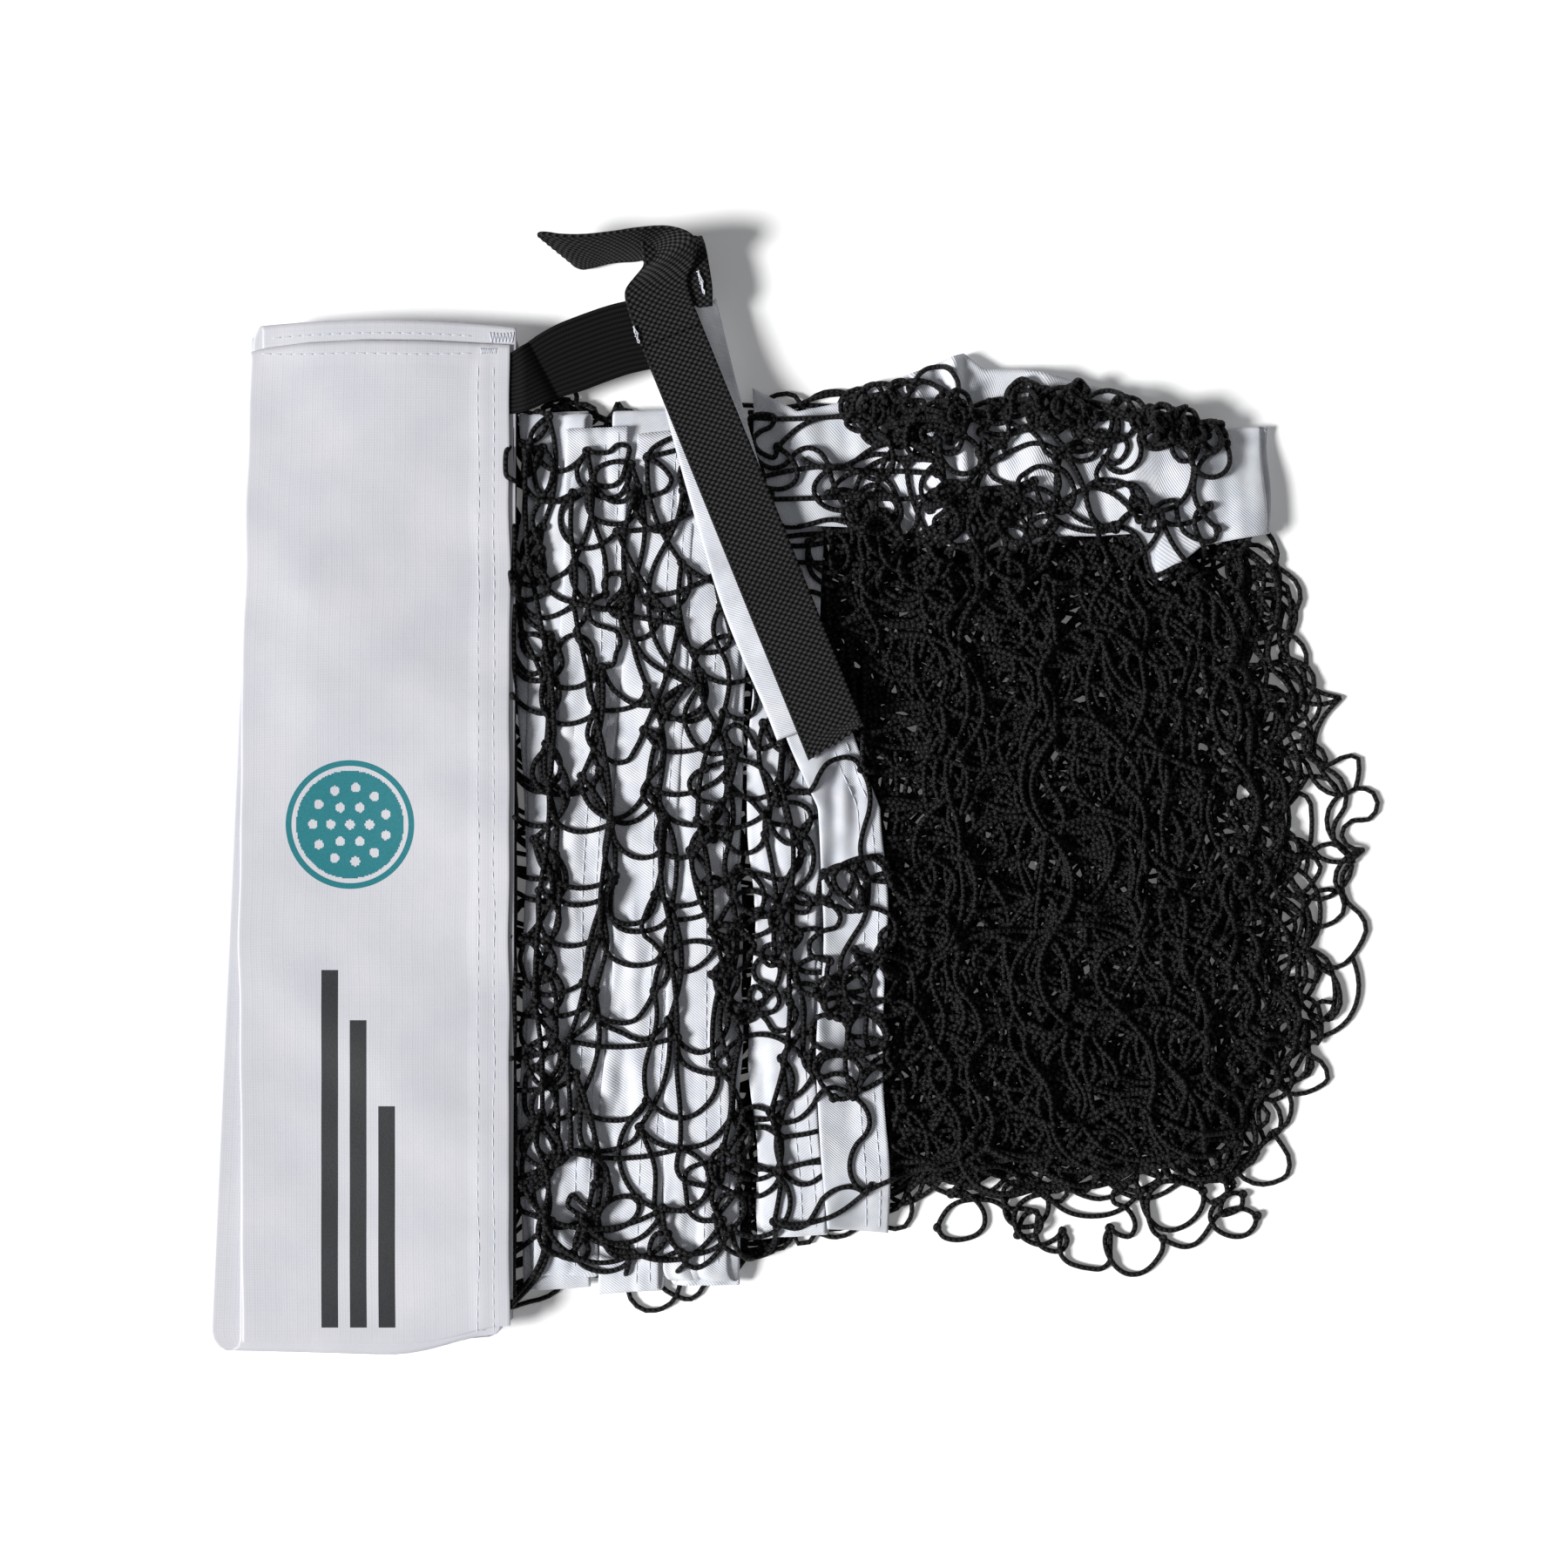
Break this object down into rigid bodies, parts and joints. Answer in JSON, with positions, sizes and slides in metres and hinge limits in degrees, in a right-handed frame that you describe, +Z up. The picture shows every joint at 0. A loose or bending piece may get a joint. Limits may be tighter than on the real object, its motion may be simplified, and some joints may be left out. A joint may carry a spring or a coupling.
{
  "type": "folded portable pickleball net",
  "caption": "Folded portable court net: coated headband, knotted black cord netting, white binding tapes, elastic band and hook-and-loop corner strap.",
  "frame": {"origin": "on the resting plane, under the middle of the folded bundle's bounding box", "axes": "+X from the headband towards the turns of the netting, +Y along the headband towards its stitched ends, +Z up"},
  "size_m": [0.498, 0.467, 0.037],
  "materials": {
    "headband_cloth": "matte",
    "netting_cord": "matte",
    "white_tape": "matte",
    "webbing": "matte",
    "elastic": "matte",
    "thread": "matte",
    "print_light": "satin",
    "print_dark": "satin"
  },
  "bodies": {
    "folded_stack": {"bottom_tape_leaf_01": "white_tape", "bottom_tape_leaf_02": "white_tape", "bottom_tape_leaf_03": "white_tape", "bottom_tape_leaf_04": "white_tape", "bottom_tape_leaf_05": "white_tape", "bottom_tape_leaf_06": "white_tape", "bottom_tape_leaf_07": "white_tape", "bottom_tape_leaf_08": "white_tape", "bottom_tape_leaf_09": "white_tape", "bottom_tape_leaf_10": "white_tape", "bottom_tape_leaf_11": "white_tape", "bottom_tape_leaf_12": "white_tape", "bottom_tape_leaf_13": "white_tape", "bottom_tape_leaf_14": "white_tape", "bottom_tape_leaf_15": "white_tape", "headband_leaf_01": "headband_cloth", "headband_leaf_02": "headband_cloth", "headband_leaf_03": "headband_cloth", "headband_leaf_04": "headband_cloth", "headband_leaf_05": "headband_cloth", "headband_leaf_06": "headband_cloth", "headband_leaf_07": "headband_cloth", "headband_leaf_08": "headband_cloth", "headband_leaf_09": "headband_cloth", "headband_leaf_10": "headband_cloth", "headband_leaf_11": "headband_cloth", "headband_leaf_12": "headband_cloth", "headband_leaf_13": "headband_cloth", "headband_leaf_14": "headband_cloth", "headband_leaf_15": "headband_cloth", "netting_at_turns": "netting_cord", "netting_beside_headband": "netting_cord", "netting_under_side_tape": "netting_cord", "stack_side_tape": "white_tape"},
    "end_leaf": {"elastic_band": "elastic", "end_bottom_tape": "white_tape", "end_netting_at_turns": "netting_cord", "end_netting_beside_headband": "netting_cord", "end_netting_under_side_tape": "netting_cord", "end_side_tape": "white_tape", "headband_end_leaf": "headband_cloth", "hem_bar_tack": "thread", "hem_thread": "thread", "print_bars": "print_dark", "print_roundel": "print_light", "seam_thread_inner": "thread", "seam_thread_outer": "thread"},
    "corner_strap": {"corner_strap_webbing": "webbing", "corner_strap_backing": "white_tape", "corner_strap_thread": "thread"},
    "strap_tail": {"corner_strap_tail": "webbing"}
  },
  "joints": [
    {"name": "end_leaf_fold", "type": "hinge", "parent": "folded_stack", "child": "end_leaf", "pos_m": [-0.1785, -0.2335, 0.0177], "axis": [1, 0, 0], "range_deg": [0, 120]},
    {"name": "corner_strap_lift", "type": "hinge", "parent": "end_leaf", "child": "corner_strap", "pos_m": [0.013, 0.014, 0.0195], "axis": [0.9272, 0.3746, 0], "range_deg": [0, 100]},
    {"name": "strap_tail_fold", "type": "hinge", "parent": "corner_strap", "child": "strap_tail", "pos_m": [-0.06192, 0.19944, 0.0214], "axis": [0.9272, 0.3746, 0], "range_deg": [0, 80]}
  ]
}
